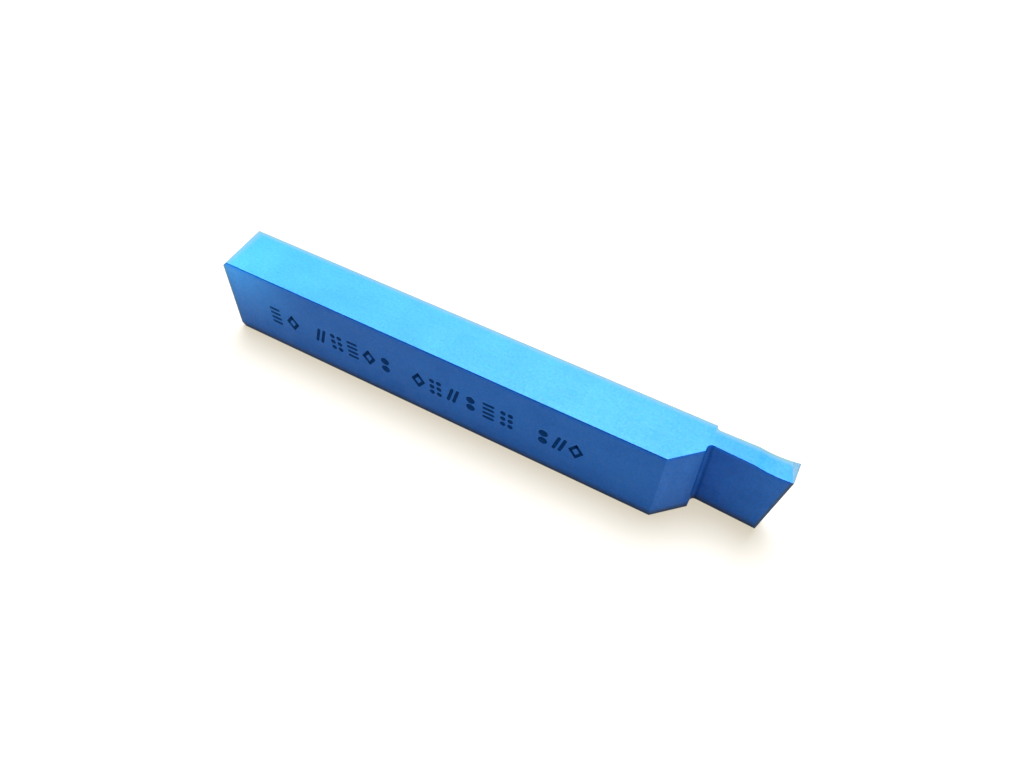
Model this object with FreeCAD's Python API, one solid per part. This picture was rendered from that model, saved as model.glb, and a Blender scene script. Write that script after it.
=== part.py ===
import FreeCAD, Part
import math
import os

from FreeCAD import Vector

# A parting tool for a lathe, ground from one rectangular bar.
# It lies along X on its bottom face: the cutting edge is at +X, the width runs along Y and the
# height along Z. The origin is under the middle of the overall length, on the bottom face.
# Lengths are in millimetres and angles in degrees.

# Bar
overall_length = 125.0      # rear face to cutting edge
bar_width = 12.0
bar_height = 20.0
edge_rounding = 0.2         # the four long edges of the bar
rear_break = 0.1            # small chamfer on the two upright edges of the rear face
near_rear_chamfer = 1.2     # top and bottom edge of the rear face, ground off at the near side
far_rear_chamfer = 0.4      # the same two chamfers at the far side, where they run out

# Blade, given at the top face, where it cuts
cutting_width = 4.9         # length of the cutting edge
near_reach = 16.1           # cutting edge back to the square wall on the near side
far_reach = 15.95           # cutting edge back to the step on the far side
far_step = 0.7              # the cutting edge stops this far short of the bar's far side
front_clearance = 5.5       # the front face leans back under the cutting edge
near_clearance = 3.4        # the near flank leans in towards the bottom
near_taper = 2.7            # the near flank closes in from the cutting edge to the root
far_clearance = 1.5         # the same two angles on the far flank
far_taper = 0.9

# Hollow in the top of the blade, ground by the rim of a wheel that lies across it
rake_reach = 7.6            # cutting edge back to where the hollow starts
rake_depth = 0.42           # how deep it goes, about halfway
edge_land = 0.12            # flat strip left along the cutting edge

# Shoulder between bar and blade
bevel_angle = 44.0          # the near corner of the bar is ground off at this angle
wall_width = 1.9            # short square wall between the bevel and the blade
wall_lean = 1.5             # the wall leans forward towards the bottom
near_root_radius = 1.0      # hollow left by the wheel where the wall meets the near flank
far_root_radius = 0.8       # the same hollow on the far side
ground_break = 0.08         # outside edges of the ground head, dulled by stoning and paint

# Two faces meet at a corner, and not smoothly, from this angle between them
corner_angle = 20.0

# Cutters reach this far past the bar, so that no face of theirs falls on one of its own
overrun = 4.0

rear_x = -overall_length / 2
edge_x = overall_length / 2
near_side_y = -bar_width / 2
far_side_y = bar_width / 2
far_corner_y = far_side_y - far_step
near_corner_y = far_corner_y - cutting_width
wall_x = edge_x - near_reach
far_shoulder_x = edge_x - far_reach


def slope(angle):
    return math.tan(math.radians(angle))


def near_flank_y(x, z):
    """Y of the near flank at a place along the blade and a height."""
    return near_corner_y + (edge_x - x) * slope(near_taper) + (bar_height - z) * slope(near_clearance)


def far_flank_y(x, z):
    """Y of the far flank at a place along the blade and a height."""
    return far_corner_y - (edge_x - x) * slope(far_taper) - (bar_height - z) * slope(far_clearance)


def near_wall_x(z):
    """X of the square wall at a height."""
    return wall_x + (bar_height - z) * slope(wall_lean)


def flat_sided_block(first, second):
    """Solid between two outlines with as many corners, drawn anticlockwise seen from the second."""
    sides = []
    for index in range(len(first)):
        following = (index + 1) % len(first)
        corners = [first[index], first[following], second[following], second[index]]
        sides.append(Part.Face(Part.makePolygon(corners + corners[:1])))
    start = Part.Face(Part.makePolygon(first + first[:1]))
    end = Part.Face(Part.makePolygon(second + second[:1]))
    shell = Part.Shell(sides + [start, end])
    shell.sewShape()
    return Part.Solid(shell)


def skew_block(outline_at, low_z, high_z):
    """Flat-sided solid between an outline at one height and at another."""
    low = [Vector(x, y, low_z) for x, y in outline_at(low_z)]
    high = [Vector(x, y, high_z) for x, y in outline_at(high_z)]
    return flat_sided_block(low, high)


def edge_through(solid, point):
    """The edge of a solid whose middle lies nearest to a point."""
    vertex = Part.Vertex(point)
    return min(solid.Edges, key=lambda edge: edge.distToShape(vertex)[0])


def rear_chamfer_cutter():
    """What is ground off the top edge of the rear face, more at the near side than at the far."""

    def outline(y):
        along = (y - near_side_y) / bar_width
        chamfer = near_rear_chamfer + (far_rear_chamfer - near_rear_chamfer) * along
        return [
            Vector(rear_x - overrun, y, bar_height - chamfer - overrun),
            Vector(rear_x - overrun, y, bar_height + overrun),
            Vector(rear_x + chamfer + overrun, y, bar_height + overrun),
        ]

    return flat_sided_block(outline(far_side_y + overrun), outline(near_side_y - overrun))


def edges_along(shape, direction):
    """The straight edges of a shape that run along a direction."""
    return [e for e in shape.Edges if abs(e.tangentAt(e.FirstParameter).dot(direction)) > 0.99]


def bar_blank():
    """The bar with its long edges rounded and its rear end ground off all round."""
    bar = Part.makeBox(overall_length, bar_width, bar_height, Vector(rear_x, near_side_y, 0))
    top_cutter = rear_chamfer_cutter()
    bottom_cutter = top_cutter.mirror(Vector(0, 0, bar_height / 2), Vector(0, 0, 1))
    bar = bar.cut(top_cutter).cut(bottom_cutter)
    bar = bar.makeFillet(edge_rounding, edges_along(bar, Vector(1, 0, 0)))
    rear_face = min(bar.Faces, key=lambda face: face.CenterOfMass.x)
    return bar.makeChamfer(rear_break, edges_along(rear_face, Vector(0, 0, 1)))


def bevel_x(y):
    """X of the upright bevel at a place across the bar."""
    bevel_end_y = near_flank_y(wall_x, bar_height) - wall_width
    return wall_x + (y - bevel_end_y) / slope(bevel_angle)


def bevel_y(x):
    """Y of the upright bevel at a place along the bar."""
    bevel_end_y = near_flank_y(wall_x, bar_height) - wall_width
    return bevel_end_y + (x - wall_x) * slope(bevel_angle)


def near_cutter():
    """What the wheel takes off the near side: bevel, square wall, hollow and flank."""
    outer_y = near_side_y - overrun
    front_x = edge_x + overrun

    def outline(z):
        root_x = near_wall_x(z)
        return [
            (front_x, outer_y),
            (front_x, near_flank_y(front_x, z)),
            (root_x, near_flank_y(root_x, z)),
            (root_x, bevel_y(root_x)),
            (bevel_x(outer_y), outer_y),
        ]

    block = skew_block(outline, -overrun, bar_height + overrun)
    middle = bar_height / 2
    root_x = near_wall_x(middle)
    root = edge_through(block, Vector(root_x, near_flank_y(root_x, middle), middle))
    return block.makeFillet(near_root_radius, [root])


def far_cutter():
    """What the wheel takes off the far side: a shallow step with a hollow at its root."""
    front_x = edge_x + overrun
    outer_y = far_side_y + overrun

    def outline(z):
        return [
            (far_shoulder_x, outer_y),
            (far_shoulder_x, far_flank_y(far_shoulder_x, z)),
            (front_x, far_flank_y(front_x, z)),
            (front_x, outer_y),
        ]

    block = skew_block(outline, -overrun, bar_height + overrun)
    middle = bar_height / 2
    root = edge_through(block, Vector(far_shoulder_x, far_flank_y(far_shoulder_x, middle), middle))
    return block.makeFillet(far_root_radius, [root])


def front_cutter():
    """What the wheel takes off the front, so that only the top edge touches the work."""
    low_z = -overrun
    high_z = bar_height + overrun
    low_x = edge_x - (bar_height - low_z) * slope(front_clearance)
    high_x = edge_x - (bar_height - high_z) * slope(front_clearance)
    side_y = near_side_y - overrun
    corners = [
        Vector(low_x, side_y, low_z),
        Vector(high_x, side_y, high_z),
        Vector(high_x + 2 * overrun, side_y, high_z),
        Vector(high_x + 2 * overrun, side_y, low_z),
    ]
    profile = Part.Face(Part.makePolygon(corners + corners[:1]))
    return profile.extrude(Vector(0, bar_width + 2 * overrun, 0))


def rake_cutter():
    """What the wheel takes off the top of the blade, behind the cutting edge."""
    half_chord = (rake_reach - edge_land) / 2
    wheel_radius = (half_chord ** 2 + rake_depth ** 2) / (2 * rake_depth)
    middle_x = edge_x - edge_land - half_chord
    start = Vector(middle_x, near_side_y - overrun, bar_height - rake_depth + wheel_radius)
    return Part.makeCylinder(wheel_radius, bar_width + 2 * overrun, start, Vector(0, 1, 0))


def normal_at(face, point):
    u, v = face.Surface.parameter(point)
    return face.normalAt(u, v)


def is_corner(tool, edge):
    """Whether the two faces beside an edge meet at a corner there."""
    middle = edge.valueAt((edge.FirstParameter + edge.LastParameter) / 2)
    first, second = tool.ancestorsOfType(edge, Part.Face)
    angle = normal_at(first, middle).getAngle(normal_at(second, middle))
    return angle > math.radians(corner_angle)


def dulled(tool):
    """The tool with every corner of its ground head taken off, apart from the cutting edge."""
    head_x = min(bevel_x(near_side_y), far_shoulder_x) - edge_rounding
    cutting_edge = edge_through(tool, Vector(edge_x, (near_corner_y + far_corner_y) / 2, bar_height))
    corners = []
    for edge in tool.Edges:
        on_head = edge.BoundBox.XMin > head_x
        if on_head and not edge.isSame(cutting_edge) and is_corner(tool, edge):
            corners.append(edge)
    return tool.makeFillet(ground_break, corners).Solids[0]


def parting_tool():
    """The whole tool: the bar with its head ground on both sides and in front."""
    ground = bar_blank().cut(near_cutter()).cut(far_cutter()).cut(front_cutter()).cut(rake_cutter())
    return dulled(ground.Solids[0])


os.makedirs("parts", exist_ok=True)
tool = parting_tool()
tool.exportStep("parts/parting_tool.step")
box = tool.optimalBoundingBox(False, False)
print("parting_tool", tool.ShapeType, "valid", tool.isValid(), "volume", round(tool.Volume, 1))
print("box", round(box.XLength, 4), round(box.YLength, 4), round(box.ZLength, 4))
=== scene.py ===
import bpy
import bmesh
from math import radians, tan
from mathutils import Matrix, Vector


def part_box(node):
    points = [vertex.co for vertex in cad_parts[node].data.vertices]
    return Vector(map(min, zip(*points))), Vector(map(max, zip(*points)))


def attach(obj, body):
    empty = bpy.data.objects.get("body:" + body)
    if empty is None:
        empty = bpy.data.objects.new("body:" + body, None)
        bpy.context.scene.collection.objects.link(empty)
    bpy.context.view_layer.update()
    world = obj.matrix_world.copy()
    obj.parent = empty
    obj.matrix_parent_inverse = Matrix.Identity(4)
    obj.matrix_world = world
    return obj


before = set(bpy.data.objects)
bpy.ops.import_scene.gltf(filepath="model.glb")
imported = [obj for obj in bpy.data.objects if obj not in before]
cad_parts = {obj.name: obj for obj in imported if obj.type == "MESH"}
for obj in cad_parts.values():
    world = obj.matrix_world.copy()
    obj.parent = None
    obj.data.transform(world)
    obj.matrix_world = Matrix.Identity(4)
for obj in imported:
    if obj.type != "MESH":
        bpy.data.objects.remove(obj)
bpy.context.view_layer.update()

mm = 0.001
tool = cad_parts["parting_tool"]
toolLow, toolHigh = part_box("parting_tool")
rearX = toolLow.x        # rear face of the bar
edgeX = toolHigh.x       # cutting edge
nearY = toolLow.y        # the side with the marks
farY = toolHigh.y
topZ = toolHigh.z
headX = edgeX - 21.5 * mm    # where the bar ends and the ground head starts
bladeX = edgeX - 15.95 * mm  # the step on the far side, where the blade starts
farStep = 0.85 * mm          # how far the top's far edge lies in along the blade, on average
frontLean = tan(radians(5.5))    # how far the front face leans back for each mm down
wallX = edgeX - 16.1 * mm        # the square wall behind the blade, at the top
wallLean = tan(radians(1.5))     # how far it leans forward for each mm down
print("frame loaded, tool", [round(size / mm, 2) for size in toolHigh - toolLow], "mm")


def toLinear(hexColour):
    channels = [int(hexColour[i:i + 2], 16) / 255 for i in (1, 3, 5)]
    linear = [c / 12.92 if c <= 0.04045 else ((c + 0.055) / 1.055) ** 2.4 for c in channels]
    return (*linear, 1.0)


def addNode(tree, kind, settings=None, values=None, links=None):
    node = tree.nodes.new(kind)
    for name, value in (settings or {}).items():
        setattr(node, name, value)
    for socket, value in (values or {}).items():
        node.inputs[socket].default_value = value
    for socket, source in (links or {}).items():
        tree.links.new(source, node.inputs[socket])
    return node


def newMaterial(name):
    material = bpy.data.materials.new(name)
    material.use_nodes = True
    material.node_tree.nodes.clear()
    return material, material.node_tree


# Blue stoving enamel sprayed over a ground bar: even in colour, silky rather than glossy, with the
# faint waviness of a sprayed coat and the grinding lines of the steel just showing through.
# Painted shade lies along its corners, deep blue along the top edges and greyer along the upright
# and the bottom ones, where it stands for the contact shadow; the blade is painted darker as well.
# At the cutting edge a narrow wedge of it is gone and the ground steel shows.
enamel = {
    "colour": "#368FF0",
    "deeperBlue": "#2F88EA",         # where the coat ran together and lies thicker, and the blade's painted shade
    "pooledSize": 9.0,           # mm, spacing of the thicker patches
    "shankStreak": 0.02,         # how much the grinding lines lighten or darken the coat
    "headStreak": 0.03,
    "grain": 0.14,               # how much its fine grain lightens or darkens it
    "grainSize": 0.5,            # mm, drawn coarser than real, so that it shows
    "topEdgeShade": "#0486F9",      # painted shade on the sides, along their top edges
    "topRoundingShade": "#03448A",    # and on the roundings there
    # painted shade along the bottom edge, for the contact shadow, and narrowly up the rear end
    "lowEdgeShade": "#2C5078",
    # painted shade down the front edge of the blade
    "frontEdgeShade": "#547290",
    "topRimShade": "#628A88",         # painted shade, a grey line along the far and rear edge of the top face
    "rearRimShade": "#4888B8",        # painted shade, the same down the rear end of the sides
    "fullCorner": 0.4,           # mm from a corner over which the painted edge shade is full
    "endTop": 1.1,               # mm from the corner where it ends
    "endLow": 2.2,
    "rearNarrower": 4.0,         # how many times narrower the line is at both ends
    "frontNarrower": 1.5,
    "rimWidth": 1.2,             # mm from the edge where the top's grey line ends, and is full
    "rimFull": 0.2,
    "rimRearWider": 2.0,         # how many times wider it is at the rear, where a chamfer lies
    "rearRimWidth": 0.9,         # mm, the same two sizes of the line down the rear end
    "rearRimFull": 0.3,
    "headBlend": 1.0,            # mm on either side over which the head's lines take over
    "bladeBlend": 1.5,           # the same for the blade's painted shade
    "bladeShade": 1.3,            # painted shade: how much of the deeper blue the whole blade gets
    "flankRootShade": 2.2,             # how much more its flanks get at the root, by the wall
    "flankTipShade": -1.5,             # and at the front, so that they lighten towards the tip
    "rootShade": 0.25,           # how much darker the wall and the foot of the hollow beside it are
    "rootShine": 0.45,           # share of that which comes off their shine too
    "hollowFoot": 0.8,           # mm from the wall to the foot of the hollow
    "wallBand": (0.16, 0.04),    # mm from the middle at which the dark band ends, and is full
    "footBand": (0.55, 0.1),
    "roughness": 0.46,
    "roughnessSpread": 0.07,
    "specular": 0.15,            # a satin coat sends back less than a polished one
    "peelSize": 1.1,             # mm, spacing of the waves in the coat
    "peelHeight": 0.006,         # mm
    "lineSpacing": 0.45,         # mm, drawn about three times coarser than real, so that it shows
    "lineLength": 14.0,          # mm
    "lineHeight": 0.0025,        # mm
    "ior": 1.5,
}

# The hollow ground into the top of the blade, as in the part's own drawing
rakeHollow = {"reach": 7.6, "depth": 0.42, "land": 0.12}    # mm

bareEdge = {
    "colour": "#3C5565",         # ground steel, still tinted by a film of blue
    "roughness": 0.4,
    "startX": 0.1,               # mm back from the cutting edge at its near end
    "slant": 0.26,               # mm further back for each mm across the blade
    "raggedSize": 0.6,           # mm, spacing of the notches in the paint's border
    "raggedDepth": 0.45,         # mm
    "borderWidth": 0.16,         # mm over which the paint gives out
    "grindSpacing": 0.12,        # mm, drawn coarser than a real wheel leaves, so that it shows
    "grindLength": 2.4,          # mm
    "grindHeight": 0.002,        # mm
}


def scaled(tree, place, sizes):
    scale = tuple(1 / (size * mm) for size in sizes)
    mapping = addNode(tree, "ShaderNodeMapping", values={"Scale": scale}, links={"Vector": place})
    return mapping.outputs[0]


def paintTool():
    material, tree = newMaterial("stovedBlueEnamelOnGroundSteel")
    place = addNode(tree, "ShaderNodeTexCoord").outputs["Object"]
    at = addNode(tree, "ShaderNodeSeparateXYZ", links={0: place}).outputs

    # which way a face looks: upright ones are the sides of the bar and of the head
    surface = addNode(tree, "ShaderNodeNewGeometry").outputs["Normal"]
    facing = addNode(tree, "ShaderNodeSeparateXYZ", links={0: surface}).outputs
    endFace = addNode(tree, "ShaderNodeMath", {"operation": "ABSOLUTE"}, links={0: facing["X"]})
    level = addNode(tree, "ShaderNodeMath", {"operation": "ABSOLUTE"}, links={0: facing["Z"]})
    flattest = addNode(tree, "ShaderNodeMath", {"operation": "MAXIMUM"},
                       links={0: endFace.outputs[0], 1: level.outputs[0]})
    onSide = addNode(tree, "ShaderNodeMapRange", values={"From Min": 0.97, "From Max": 0.9},
                     links={"Value": flattest.outputs[0]})

    # lines of the ground bar: lengthwise on the shank, upright on the ground head
    spacing, length = enamel["lineSpacing"], enamel["lineLength"]
    shankLines = addNode(tree, "ShaderNodeTexNoise", values={"Scale": 1.0, "Detail": 2.0},
                         links={"Vector": scaled(tree, place, (length, spacing, spacing))})
    headLines = addNode(tree, "ShaderNodeTexNoise", values={"Scale": 1.0, "Detail": 2.0},
                        links={"Vector": scaled(tree, place, (spacing, spacing, length))})
    blend = enamel["headBlend"] * mm
    onHead = addNode(tree, "ShaderNodeMapRange",
                     values={"From Min": headX - blend, "From Max": headX + blend},
                     links={"Value": at["X"]})
    turned = addNode(tree, "ShaderNodeMix",
                     links={0: onHead.outputs[0], 2: shankLines.outputs["Fac"],
                            3: headLines.outputs["Fac"]})
    lines = turned.outputs[0]

    # the coat: thicker patches and the blade's painted shade, then the lines, then the corners
    patches = addNode(tree, "ShaderNodeTexNoise", values={"Scale": 1.0, "Detail": 4.0},
                      links={"Vector": scaled(tree, place, [enamel["pooledSize"]] * 3)})
    deeperBlue = addNode(tree, "ShaderNodeMapRange", values={"From Min": 0.35, "From Max": 0.65},
                     links={"Value": patches.outputs["Fac"]})
    blend = enamel["bladeBlend"] * mm
    onBlade = addNode(tree, "ShaderNodeMapRange",
                      values={"From Min": bladeX - blend, "From Max": bladeX + blend},
                      links={"Value": at["X"]})
    # painted shade on the blade's flanks, deepest at the root by the wall
    flankShade = addNode(tree, "ShaderNodeMapRange",
                         values={"From Min": bladeX, "From Max": edgeX,
                                 "To Min": enamel["flankRootShade"], "To Max": enamel["flankTipShade"]},
                         links={"Value": at["X"]})
    bladeShade = addNode(tree, "ShaderNodeMath", {"operation": "MULTIPLY_ADD"},
                        {2: enamel["bladeShade"]}, {0: flankShade.outputs[0], 1: onSide.outputs[0]})
    patchesAndBladeShade = addNode(tree, "ShaderNodeMath", {"operation": "MULTIPLY_ADD"},
                      links={0: onBlade.outputs[0], 1: bladeShade.outputs[0], 2: deeperBlue.outputs[0]})
    coat = addNode(tree, "ShaderNodeMix", {"data_type": "RGBA", "clamp_factor": False},
                   {6: toLinear(enamel["colour"]), 7: toLinear(enamel["deeperBlue"])},
                   {0: patchesAndBladeShade.outputs[0]})
    strength = addNode(tree, "ShaderNodeMapRange",
                       values={"To Min": enamel["shankStreak"], "To Max": enamel["headStreak"]},
                       links={"Value": onHead.outputs[0]})
    centred = addNode(tree, "ShaderNodeMapRange",
                      values={"From Min": 0.3, "From Max": 0.7, "To Min": -1.0, "To Max": 1.0},
                      links={"Value": lines})
    speckle = addNode(tree, "ShaderNodeTexNoise", values={"Scale": 1.0, "Detail": 2.0},
                      links={"Vector": scaled(tree, place, [enamel["grainSize"]] * 3)})
    grain = addNode(tree, "ShaderNodeMapRange",
                    values={"From Min": 0.25, "From Max": 0.75,
                            "To Min": 1 - enamel["grain"], "To Max": 1 + enamel["grain"]},
                    links={"Value": speckle.outputs["Fac"]})
    streak = addNode(tree, "ShaderNodeMath", {"operation": "MULTIPLY_ADD"},
                     links={0: centred.outputs[0], 1: strength.outputs[0], 2: grain.outputs[0]})

    # painted shade: dark bands on the wall behind the blade and at the foot of the hollow beside it
    wallFoot = addNode(tree, "ShaderNodeMath", {"operation": "MULTIPLY_ADD"},
                       {1: wallLean, 2: -wallX - topZ * wallLean}, {0: at["Z"]})
    fromWall = addNode(tree, "ShaderNodeMath", {"operation": "ADD"},
                       links={0: at["X"], 1: wallFoot.outputs[0]})
    fromFoot = addNode(tree, "ShaderNodeMath", {"operation": "SUBTRACT"},
                       {1: enamel["hollowFoot"] * mm}, {0: fromWall.outputs[0]})
    bands = []
    for name, distance in (("wallBand", fromWall), ("footBand", fromFoot)):
        outer, inner = enamel[name]
        beside = addNode(tree, "ShaderNodeMath", {"operation": "ABSOLUTE"},
                         links={0: distance.outputs[0]})
        bands.append(addNode(tree, "ShaderNodeMapRange",
                             values={"From Min": outer * mm, "From Max": inner * mm},
                             links={"Value": beside.outputs[0]}))
    rootBands = addNode(tree, "ShaderNodeMath", {"operation": "MAXIMUM"},
                        links={0: bands[0].outputs[0], 1: bands[1].outputs[0]})
    upright = addNode(tree, "ShaderNodeMapRange",
                      values={"From Min": 0.9, "From Max": 0.5, "To Max": -enamel["rootShade"]},
                      links={"Value": level.outputs[0]})
    rootShade = addNode(tree, "ShaderNodeMath", {"operation": "MULTIPLY"},
                        links={0: rootBands.outputs[0], 1: upright.outputs[0]})
    shaded = addNode(tree, "ShaderNodeMath", {"operation": "ADD"},
                     links={0: rootShade.outputs[0], 1: streak.outputs[0]})
    # and it shines less there
    shine = addNode(tree, "ShaderNodeMath", {"operation": "MULTIPLY_ADD"},
                    {1: enamel["rootShine"], 2: enamel["specular"]}, {0: rootShade.outputs[0]})
    # the coat with its lines and grain, and the painted shade by the wall
    streakedAndShaded = addNode(tree, "ShaderNodeHueSaturation",
                       links={"Color": coat.outputs[2], "Value": shaded.outputs[0]})

    # the hollow behind the cutting edge is shaded as the round it is, not as the flats of its mesh
    wheelX = edgeX - (rakeHollow["reach"] + rakeHollow["land"]) / 2 * mm
    halfChord = (rakeHollow["reach"] - rakeHollow["land"]) / 2
    wheelRadius = (halfChord ** 2 + rakeHollow["depth"] ** 2) / (2 * rakeHollow["depth"])
    wheelZ = topZ + (wheelRadius - rakeHollow["depth"]) * mm
    toWheel = addNode(tree, "ShaderNodeVectorMath", {"operation": "MULTIPLY_ADD"},
                      {1: (-1, 0, -1), 2: (wheelX, 0, wheelZ)}, {0: place})
    roundNormal = addNode(tree, "ShaderNodeVectorMath", {"operation": "NORMALIZE"},
                          links={0: toWheel.outputs[0]})
    fromMiddle = addNode(tree, "ShaderNodeMath", {"operation": "COMPARE"},
                         {1: wheelX, 2: halfChord * mm}, {0: at["X"]})
    onTop = addNode(tree, "ShaderNodeMath", {"operation": "GREATER_THAN"}, {1: 0.9},
                    {0: facing["Z"]})
    inHollow = addNode(tree, "ShaderNodeMath", {"operation": "MULTIPLY"},
                       links={0: fromMiddle.outputs[0], 1: onTop.outputs[0]})
    across = addNode(tree, "ShaderNodeMath", {"operation": "SUBTRACT"}, {1: wheelX}, {0: at["X"]})
    part = addNode(tree, "ShaderNodeMath", {"operation": "DIVIDE"}, {1: halfChord * mm},
                   {0: across.outputs[0]})
    square = addNode(tree, "ShaderNodeMath", {"operation": "MULTIPLY"},
                     links={0: part.outputs[0], 1: part.outputs[0]})
    # the coat softens the corner where it starts
    pastCorner = addNode(tree, "ShaderNodeMapRange", values={"From Min": 1.0, "From Max": 0.55},
                         links={"Value": square.outputs[0]})
    softNormal = addNode(tree, "ShaderNodeMix", {"data_type": "VECTOR"}, {4: (0, 0, 1)},
                         {0: pastCorner.outputs[0], 5: roundNormal.outputs[0]})
    groundNormal = addNode(tree, "ShaderNodeMix", {"data_type": "VECTOR"},
                           links={0: inHollow.outputs[0], 4: surface, 5: softNormal.outputs[1]})
    drop = addNode(tree, "ShaderNodeMapRange",
                   values={"To Min": rakeHollow["depth"] * mm, "To Max": 0.0},
                   links={"Value": square.outputs[0]})

    # how far a point of an upright face lies from the corners round it, for the painted edge shade
    aboveFloor = addNode(tree, "ShaderNodeMath", {"operation": "SUBTRACT"}, {1: toolLow.z},
                         {0: at["Z"]})
    fromRear = addNode(tree, "ShaderNodeMath", {"operation": "SUBTRACT"}, {1: rearX}, {0: at["X"]})
    frontAtHeight = addNode(tree, "ShaderNodeMath", {"operation": "MULTIPLY_ADD"},
                            {1: frontLean, 2: edgeX - topZ * frontLean}, {0: at["Z"]})
    fromFront = addNode(tree, "ShaderNodeMath", {"operation": "SUBTRACT"},
                        links={0: frontAtHeight.outputs[0], 1: at["X"]})
    narrowRear = addNode(tree, "ShaderNodeMath", {"operation": "MULTIPLY"},
                         {1: enamel["rearNarrower"]}, {0: fromRear.outputs[0]})
    narrowFront = addNode(tree, "ShaderNodeMath", {"operation": "MULTIPLY"},
                          {1: enamel["frontNarrower"]}, {0: fromFront.outputs[0]})
    fromLow = addNode(tree, "ShaderNodeMath", {"operation": "MINIMUM"},
                      links={0: narrowRear.outputs[0], 1: aboveFloor.outputs[0]})
    topAt = addNode(tree, "ShaderNodeMath", {"operation": "SUBTRACT"}, {0: topZ},
                    {1: drop.outputs[0]})
    fromTop = addNode(tree, "ShaderNodeMath", {"operation": "SUBTRACT"},
                      links={0: topAt.outputs[0], 1: at["Z"]})
    full = enamel["fullCorner"] * mm
    lowShadeRamp = addNode(tree, "ShaderNodeMapRange",
                      values={"From Min": enamel["endLow"] * mm, "From Max": full},
                      links={"Value": fromLow.outputs[0]})
    topShadeRamp = addNode(tree, "ShaderNodeMapRange",
                      values={"From Min": enamel["endTop"] * mm, "From Max": full},
                      links={"Value": fromTop.outputs[0]})
    frontShadeRamp = addNode(tree, "ShaderNodeMapRange",
                        values={"From Min": enamel["endTop"] * mm, "From Max": full},
                        links={"Value": narrowFront.outputs[0]})

    # the far edge of the top face steps in at the blade
    stepIn = addNode(tree, "ShaderNodeMath", {"operation": "GREATER_THAN"}, {1: bladeX},
                     {0: at["X"]})
    farEdge = addNode(tree, "ShaderNodeMath", {"operation": "MULTIPLY_ADD"}, {1: -farStep, 2: farY},
                      {0: stepIn.outputs[0]})
    fromFar = addNode(tree, "ShaderNodeMath", {"operation": "SUBTRACT"},
                      links={0: farEdge.outputs[0], 1: at["Y"]})
    pastChamfer = addNode(tree, "ShaderNodeMath", {"operation": "MULTIPLY"},
                          {1: 1 / enamel["rimRearWider"]}, {0: fromRear.outputs[0]})
    fromOutline = addNode(tree, "ShaderNodeMath", {"operation": "MINIMUM"},
                          links={0: fromFar.outputs[0], 1: pastChamfer.outputs[0]})
    nearOutline = addNode(tree, "ShaderNodeMapRange",
                          values={"From Min": enamel["rimWidth"] * mm,
                                  "From Max": enamel["rimFull"] * mm},
                          links={"Value": fromOutline.outputs[0]})
    # the painted shade line along the far and rear edge of the top face
    rimShadeMask = addNode(tree, "ShaderNodeMath", {"operation": "MULTIPLY"},
                      links={0: nearOutline.outputs[0], 1: onTop.outputs[0]})

    # the painted edge shade, laid over the coat corner by corner
    onRounding = addNode(tree, "ShaderNodeMapRange", values={"From Min": 0.1, "From Max": 0.3},
                         links={"Value": facing["Z"]})
    topShadeColour = addNode(tree, "ShaderNodeMix", {"data_type": "RGBA"},
                        {6: toLinear(enamel["topEdgeShade"]), 7: toLinear(enamel["topRoundingShade"])},
                        {0: onRounding.outputs[0]})
    topShadeMask = addNode(tree, "ShaderNodeMath", {"operation": "MULTIPLY"},
                      links={0: topShadeRamp.outputs[0], 1: onSide.outputs[0]})
    lowShadeMask = addNode(tree, "ShaderNodeMath", {"operation": "MULTIPLY"},
                      links={0: lowShadeRamp.outputs[0], 1: onSide.outputs[0]})
    lowShaded = addNode(tree, "ShaderNodeMix", {"data_type": "RGBA"},
                       {7: toLinear(enamel["lowEdgeShade"])},
                       {0: lowShadeMask.outputs[0], 6: streakedAndShaded.outputs[0]})
    topShaded = addNode(tree, "ShaderNodeMix", {"data_type": "RGBA"},
                       links={0: topShadeMask.outputs[0], 6: lowShaded.outputs[2],
                              7: topShadeColour.outputs[2]})
    frontShadeMask = addNode(tree, "ShaderNodeMath", {"operation": "MULTIPLY"},
                        links={0: frontShadeRamp.outputs[0], 1: onSide.outputs[0]})
    frontShaded = addNode(tree, "ShaderNodeMix", {"data_type": "RGBA"},
                        {7: toLinear(enamel["frontEdgeShade"])},
                        {0: frontShadeMask.outputs[0], 6: topShaded.outputs[2]})
    rearShadeRamp = addNode(tree, "ShaderNodeMapRange",
                       values={"From Min": enamel["rearRimWidth"] * mm,
                               "From Max": enamel["rearRimFull"] * mm},
                       links={"Value": fromRear.outputs[0]})
    rearShadeMask = addNode(tree, "ShaderNodeMath", {"operation": "MULTIPLY"},
                       links={0: rearShadeRamp.outputs[0], 1: onSide.outputs[0]})
    rearShaded = addNode(tree, "ShaderNodeMix", {"data_type": "RGBA"},
                        {7: toLinear(enamel["rearRimShade"])},
                        {0: rearShadeMask.outputs[0], 6: frontShaded.outputs[2]})
    paint = addNode(tree, "ShaderNodeMix", {"data_type": "RGBA"}, {7: toLinear(enamel["topRimShade"])},
                    {0: rimShadeMask.outputs[0], 6: rearShaded.outputs[2]})

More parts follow.
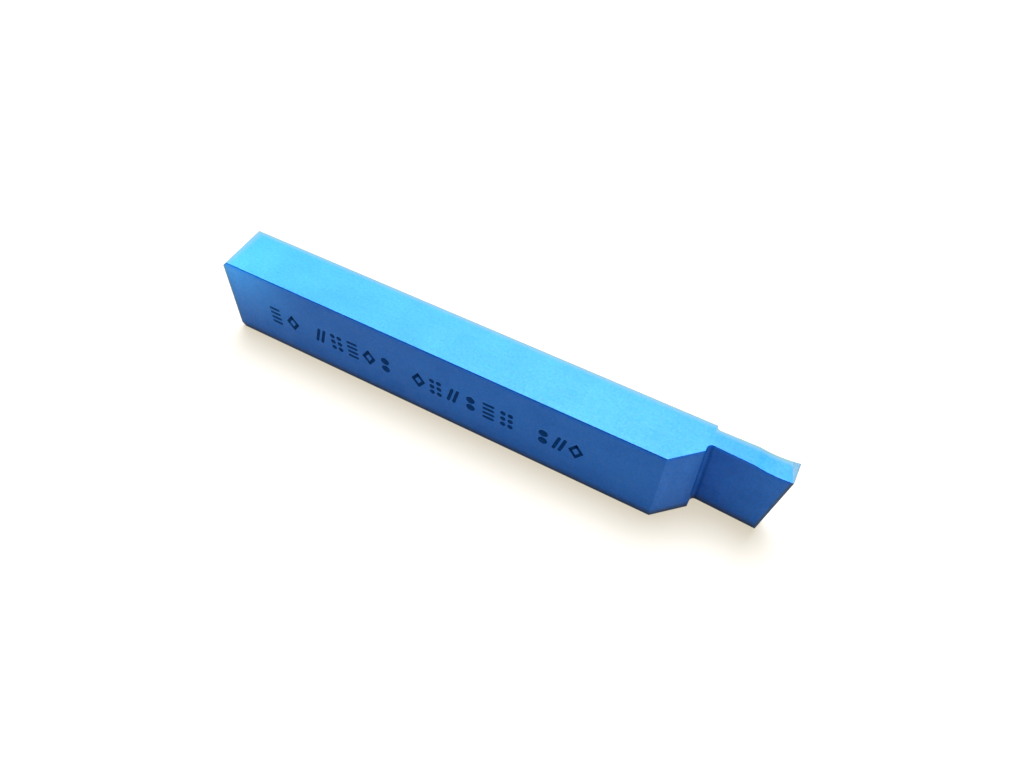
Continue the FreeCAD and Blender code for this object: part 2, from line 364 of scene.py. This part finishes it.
    # waves of the sprayed coat over the lines
    waves = addNode(tree, "ShaderNodeTexNoise", values={"Scale": 1.0, "Detail": 1.0},
                    links={"Vector": scaled(tree, place, [enamel["peelSize"]] * 3)})
    lineBump = addNode(tree, "ShaderNodeBump", values={"Distance": enamel["lineHeight"] * mm},
                       links={"Height": lines, "Normal": groundNormal.outputs[1]})
    waveBump = addNode(tree, "ShaderNodeBump", values={"Distance": enamel["peelHeight"] * mm},
                       links={"Height": waves.outputs["Fac"], "Normal": lineBump.outputs[0]})
    sheen = addNode(tree, "ShaderNodeMapRange",
                    values={"From Min": 0.3, "From Max": 0.7,
                            "To Min": enamel["roughness"] - enamel["roughnessSpread"],
                            "To Max": enamel["roughness"] + enamel["roughnessSpread"]},
                    links={"Value": waves.outputs["Fac"]})
    painted = addNode(tree, "ShaderNodeBsdfPrincipled",
                      values={"IOR": enamel["ior"]},
                      links={"Base Color": paint.outputs[2], "Roughness": sheen.outputs[0],
                             "Specular IOR Level": shine.outputs[0], "Normal": waveBump.outputs[0]})

    # bare steel along the cutting edge, a wedge that widens to the far corner
    depth = addNode(tree, "ShaderNodeMath", {"operation": "MULTIPLY_ADD"},
                    {1: bareEdge["slant"], 2: bareEdge["startX"] * mm - edgeX}, {0: at["Y"]})
    ragged = addNode(tree, "ShaderNodeTexNoise", values={"Scale": 1.0, "Detail": 3.0},
                     links={"Vector": scaled(tree, place, [bareEdge["raggedSize"]] * 3)})
    notched = addNode(tree, "ShaderNodeMath", {"operation": "MULTIPLY_ADD"},
                      {1: bareEdge["raggedDepth"] * mm},
                      {0: ragged.outputs["Fac"], 2: depth.outputs[0]})
    inside = addNode(tree, "ShaderNodeMath", {"operation": "ADD"},
                     links={0: at["X"], 1: notched.outputs[0]})
    border, fade = bareEdge["raggedDepth"] / 2, bareEdge["borderWidth"] / 2
    worn = addNode(tree, "ShaderNodeMapRange",
                   values={"From Min": (border - fade) * mm, "From Max": (border + fade) * mm},
                   links={"Value": inside.outputs[0]})
    bareMask = addNode(tree, "ShaderNodeMath", {"operation": "MULTIPLY"},
                       links={0: worn.outputs[0], 1: onTop.outputs[0]})
    spacing, length = bareEdge["grindSpacing"], bareEdge["grindLength"]
    grind = addNode(tree, "ShaderNodeTexNoise", values={"Scale": 1.0, "Detail": 1.0},
                    links={"Vector": scaled(tree, place, (spacing, length, spacing))})
    grindBump = addNode(tree, "ShaderNodeBump", values={"Distance": bareEdge["grindHeight"] * mm},
                        links={"Height": grind.outputs["Fac"], "Normal": groundNormal.outputs[1]})
    bare = addNode(tree, "ShaderNodeBsdfPrincipled",
                   values={"Base Color": toLinear(bareEdge["colour"]), "Metallic": 1.0,
                           "Roughness": bareEdge["roughness"]},
                   links={"Normal": grindBump.outputs[0]})
    both = addNode(tree, "ShaderNodeMixShader",
                   links={0: bareMask.outputs[0], 1: painted.outputs[0], 2: bare.outputs[0]})
    addNode(tree, "ShaderNodeOutputMaterial", links={"Surface": both.outputs[0]})
    for entry in tool.material_slots:
        entry.material = material


# A row of plain shapes in dark ink along the near side, in four groups.
# They share one height, nearly one width and, where they are drawn with strokes, one stroke.
sideMarks = {
    "groups": [                  # start and end in mm from the rear face, and the shapes between
        (11.0, 18.4, ("rungs", "lozenge")),
        (23.2, 42.9, ("slants", "dots", "rungs", "lozenge", "beads")),
        (48.4, 72.2, ("lozenge", "dots", "slants", "beads", "rungs", "dots")),
        (77.7, 87.7, ("beads", "slants", "lozenge")),
    ],
    "foot": 7.1,                 # mm, lowest point of the first shape above the bottom face
    "width": 2.75,               # mm, and so are the next two
    "height": 4.7,
    "stroke": 0.75,
    "tilt": 0.3,                 # degrees, the row climbs a little towards the blade
    "corner": 0.15,              # mm, rounding of a lozenge's corners
    "endRounding": 0.45,         # rounding of a stroke's corners, as a share of its own width
    "lozengeWidth": 1.25,        # as a share of a shape's width, and so are the next two
    "dotAside": 0.31,
    "slantAside": 0.24,
    "slantLength": 0.98,         # as a share of a shape's height
    "slantTurn": 74.0,           # degrees from the row
    "dot": 1.25,                 # mm across
    "bead": 2.0,
    "beadTurn": 45.0,            # degrees, so that a bead stands on a corner
    "dotLevels": (0.13, 0.5, 0.87),            # heights in a shape, as shares of its own
    "beadLevels": (0.25, 0.75),
    "rungLevels": (0.06, 0.35, 0.65, 0.94),
    "proud": 0.004,              # mm, how far the ink stands out of the side
    "sunk": 0.02,                # mm, how far it reaches in, so that no gap shows
    "colour": "#044686",
    "thinColour": "#1E5CA8",     # where the ink is thin and the paint shows through
    "thinSize": 0.7,             # mm
    "roughness": 0.6,
    "specular": 0.03,
}


def lozenge(bm, centreX, width, height):
    # a standing diamond, one stroke wide all round
    others = set(bm.faces)
    made = bmesh.ops.create_circle(bm, cap_ends=True, segments=4, radius=0.5)["verts"]
    bmesh.ops.scale(bm, verts=made, vec=(width, height, 1))
    bmesh.ops.translate(bm, verts=made, vec=(centreX, height / 2, 0))
    bmesh.ops.bevel(bm, geom=made, affect="VERTICES", offset=sideMarks["corner"], segments=3,
                    profile=0.5, material=-1)
    whole = [face for face in bm.faces if face not in others]
    bmesh.ops.inset_region(bm, faces=whole, thickness=sideMarks["stroke"], use_boundary=True,
                           use_even_offset=True)
    bmesh.ops.delete(bm, geom=whole, context="FACES_ONLY")


def bar(bm, centre, length, width, turn):
    # one straight stroke with rounded ends, or a dot
    made = bmesh.ops.create_grid(bm, x_segments=1, y_segments=1, size=0.5)["verts"]
    bmesh.ops.scale(bm, verts=made, vec=(length, width, 1))
    bmesh.ops.rotate(bm, verts=made, matrix=Matrix.Rotation(radians(turn), 3, "Z"))
    bmesh.ops.translate(bm, verts=made, vec=(centre[0], centre[1], 0))
    bmesh.ops.bevel(bm, geom=made, affect="VERTICES", offset=width * sideMarks["endRounding"],
                    segments=3, profile=0.5, material=-1)


def drawShape(bm, kind, centreX):
    width, height, stroke = sideMarks["width"], sideMarks["height"], sideMarks["stroke"]
    bead, dot = sideMarks["bead"], sideMarks["dot"]
    if kind == "lozenge":
        lozenge(bm, centreX, width * sideMarks["lozengeWidth"], height)
    elif kind == "beads":
        for level in sideMarks["beadLevels"]:
            bar(bm, (centreX, height * level), bead, bead, sideMarks["beadTurn"])
    elif kind == "dots":
        for level in sideMarks["dotLevels"]:
            for side in (-1, 1):
                aside = side * width * sideMarks["dotAside"]
                bar(bm, (centreX + aside, height * level), dot, dot, 0)
    elif kind == "slants":
        for side in (-1, 1):
            aside = side * width * sideMarks["slantAside"]
            bar(bm, (centreX + aside, height / 2), height * sideMarks["slantLength"], stroke,
                sideMarks["slantTurn"])
    elif kind == "rungs":
        for level in sideMarks["rungLevels"]:
            bar(bm, (centreX, height * level), width, stroke, 0)


def buildSideMarks():
    bm = bmesh.new()
    for start, end, shapes in sideMarks["groups"]:
        pitch = (end - start - sideMarks["width"]) / (len(shapes) - 1)
        for place, kind in enumerate(shapes):
            drawShape(bm, kind, start + sideMarks["width"] / 2 + place * pitch)
    depth = sideMarks["proud"] + sideMarks["sunk"]
    made = bmesh.ops.extrude_face_region(bm, geom=bm.faces[:])["geom"]
    raised = [item for item in made if isinstance(item, bmesh.types.BMVert)]
    bmesh.ops.translate(bm, verts=raised, vec=(0, 0, depth))
    bmesh.ops.recalc_face_normals(bm, faces=bm.faces[:])
    # drawn in mm with the row along X and its height along Y, then stood up against the near side
    stand = Matrix.Rotation(radians(90), 4, "X")
    climb = Matrix.Rotation(-radians(sideMarks["tilt"]), 4, "Y")
    seat = Matrix.Translation((rearX, nearY + sideMarks["sunk"] * mm, sideMarks["foot"] * mm))
    bm.transform(seat @ Matrix.Scale(mm, 4) @ climb @ stand)
    mesh = bpy.data.meshes.new("sideMarks")
    bm.to_mesh(mesh)
    bm.free()
    marks = bpy.data.objects.new("sideMarks", mesh)
    bpy.context.scene.collection.objects.link(marks)

    # pad printing ink: deep blue, flat rather than shiny, and a little uneven where it is thin
    material, tree = newMaterial("flatPrintingInk")
    place = addNode(tree, "ShaderNodeTexCoord").outputs["Object"]
    thin = addNode(tree, "ShaderNodeTexNoise", values={"Scale": 1.0, "Detail": 3.0},
                   links={"Vector": scaled(tree, place, [sideMarks["thinSize"]] * 3)})
    patchy = addNode(tree, "ShaderNodeMapRange", values={"From Min": 0.5, "From Max": 0.8},
                     links={"Value": thin.outputs["Fac"]})
    ink = addNode(tree, "ShaderNodeMix", {"data_type": "RGBA"},
                  {6: toLinear(sideMarks["colour"]), 7: toLinear(sideMarks["thinColour"])},
                  {0: patchy.outputs[0]})
    body = addNode(tree, "ShaderNodeBsdfPrincipled",
                   values={"Roughness": sideMarks["roughness"],
                           "Specular IOR Level": sideMarks["specular"]},
                   links={"Base Color": ink.outputs[2]})
    addNode(tree, "ShaderNodeOutputMaterial", links={"Surface": body.outputs[0]})
    mesh.materials.append(material)
    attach(marks, "root")


# The camera of the photograph, worked out from the bar's own corners
cameraView = {
    "place": (50.11, -89.73, 136.12),   # mm
    "azimuth": 26.09,                   # degrees, turned from looking along +Y
    "elevation": 50.78,                 # degrees, looking down
    "roll": 3.13,
    "lens": 27.38,                      # mm
    "frameWidth": 36.0,                 # mm
    "clipStart": 5.0,                   # mm
}

# One soft overhead lamp a little behind the tool, weak light from all round, a weak card off the
# blade's end and a soft spot close to the rear end
studio = {
    # angle is the lamp's width in degrees, which makes the shadow soft; azimuth 180 shines from +Y
    "overheadLamp": {"strength": 6.8, "angle": 38.0, "elevation": 72.0, "azimuth": 200.0},
    "fill": (0.17, 0.20, 0.285),        # light from all round, a little blue
    "floorBounce": "#807E7A",           # what the floor sends back on to the tool
    "floorGlow": (0.63, 0.565, 0.425),  # what the camera sees of the floor in full shadow
    "floorShade": (0.27, 0.28, 0.30),   # how much the lamps add to that
    "floorSize": 6.0,                   # m
    "floorGap": 0.02,                   # mm, keeps it clear of the tool's bottom face
    "frontCard": {"strength": 0.4, "angle": 50.0, "elevation": 25.0, "azimuth": 95.0},
    # places and size in mm, and the yellow tint makes up for the blue fill
    "rearSpot": {"place": (-75.0, -43.0, 38.0), "aim": (-61.5, -6.0, 23.5), "size": 16.0,
                 "cone": 38.0, "power": 0.075, "tint": (1.0, 1.0, 0.65)},
}


def setCamera():
    lens = bpy.data.cameras.new("photoCamera")
    lens.lens = cameraView["lens"]
    lens.sensor_width = cameraView["frameWidth"]
    lens.clip_start = cameraView["clipStart"] * mm
    camera = bpy.data.objects.new("photoCamera", lens)
    turn = Matrix.Rotation(radians(cameraView["azimuth"]), 4, "Z")
    tip = Matrix.Rotation(radians(90 - cameraView["elevation"]), 4, "X")
    roll = Matrix.Rotation(radians(cameraView["roll"]), 4, "Z")
    camera.matrix_world = Matrix.Translation(Vector(cameraView["place"]) * mm) @ turn @ tip @ roll
    bpy.context.scene.collection.objects.link(camera)
    bpy.context.scene.camera = camera


def isSeen(tree):
    # 1 for what the camera sees, in the metal's shine too, and 0 for what only lights the tool
    path = addNode(tree, "ShaderNodeLightPath").outputs
    shine = addNode(tree, "ShaderNodeMath", {"operation": "MAXIMUM"},
                    links={0: path["Is Glossy Ray"], 1: path["Is Transmission Ray"]})
    return addNode(tree, "ShaderNodeMath", {"operation": "MAXIMUM"},
                   links={0: path["Is Camera Ray"], 1: shine.outputs[0]}).outputs[0]


def farLamp(name, strength, angle, elevation, azimuth):
    light = bpy.data.lights.new(name, "SUN")
    light.energy = strength
    light.angle = radians(angle)
    lamp = bpy.data.objects.new(name, light)
    turn = Matrix.Rotation(radians(azimuth), 4, "Z")
    lamp.matrix_world = turn @ Matrix.Rotation(radians(90 - elevation), 4, "X")
    bpy.context.scene.collection.objects.link(lamp)


def nearSpot(name, place, aim, size, cone, power, tint):
    light = bpy.data.lights.new(name, "SPOT")
    light.shadow_soft_size = size / 2 * mm
    light.spot_size = radians(cone)
    light.spot_blend = 1.0
    light.energy = power
    light.color = tint
    lamp = bpy.data.objects.new(name, light)
    turn = (Vector(aim) - Vector(place)).to_track_quat("-Z", "Y").to_matrix().to_4x4()
    lamp.matrix_world = Matrix.Translation(Vector(place) * mm) @ turn
    lamp.visible_camera = False
    lamp.visible_glossy = False
    bpy.context.scene.collection.objects.link(lamp)


def lightStudio():
    farLamp("overheadLamp", **studio["overheadLamp"])
    farLamp("frontCard", **studio["frontCard"])
    nearSpot("rearSpot", **studio["rearSpot"])

    world = bpy.data.worlds.new("paleRoom")
    bpy.context.scene.world = world
    world.use_nodes = True
    tree = world.node_tree
    tree.nodes.clear()
    room = addNode(tree, "ShaderNodeMix", {"data_type": "RGBA"},
                   {6: studio["fill"] + (1,), 7: (1, 1, 1, 1)}, {0: isSeen(tree)})
    glow = addNode(tree, "ShaderNodeBackground", links={"Color": room.outputs[2]})
    addNode(tree, "ShaderNodeOutputWorld", links={"Surface": glow.outputs[0]})


def layFloor():
    bm = bmesh.new()
    bmesh.ops.create_grid(bm, x_segments=1, y_segments=1, size=studio["floorSize"] / 2)
    bmesh.ops.translate(bm, verts=bm.verts[:], vec=(0, 0, toolLow.z - studio["floorGap"] * mm))
    mesh = bpy.data.meshes.new("paperFloor")
    bm.to_mesh(mesh)
    bm.free()
    floor = bpy.data.objects.new("paperFloor", mesh)
    bpy.context.scene.collection.objects.link(floor)
    material, tree = newMaterial("matteWhitePaper")
    bounce = addNode(tree, "ShaderNodeBsdfDiffuse",
                     values={"Color": toLinear(studio["floorBounce"])})
    shade = addNode(tree, "ShaderNodeBsdfDiffuse", values={"Color": studio["floorShade"] + (1,)})
    glow = addNode(tree, "ShaderNodeEmission", values={"Color": studio["floorGlow"] + (1,)})
    seen = addNode(tree, "ShaderNodeAddShader", links={0: shade.outputs[0], 1: glow.outputs[0]})
    both = addNode(tree, "ShaderNodeMixShader",
                   links={0: isSeen(tree), 1: bounce.outputs[0], 2: seen.outputs[0]})
    addNode(tree, "ShaderNodeOutputMaterial", links={"Surface": both.outputs[0]})
    mesh.materials.append(material)


paintTool()
print("tool painted")
buildSideMarks()
print("side marks drawn")
layFloor()
lightStudio()
setCamera()
bpy.context.scene.view_settings.view_transform = "Standard"
print("studio set")
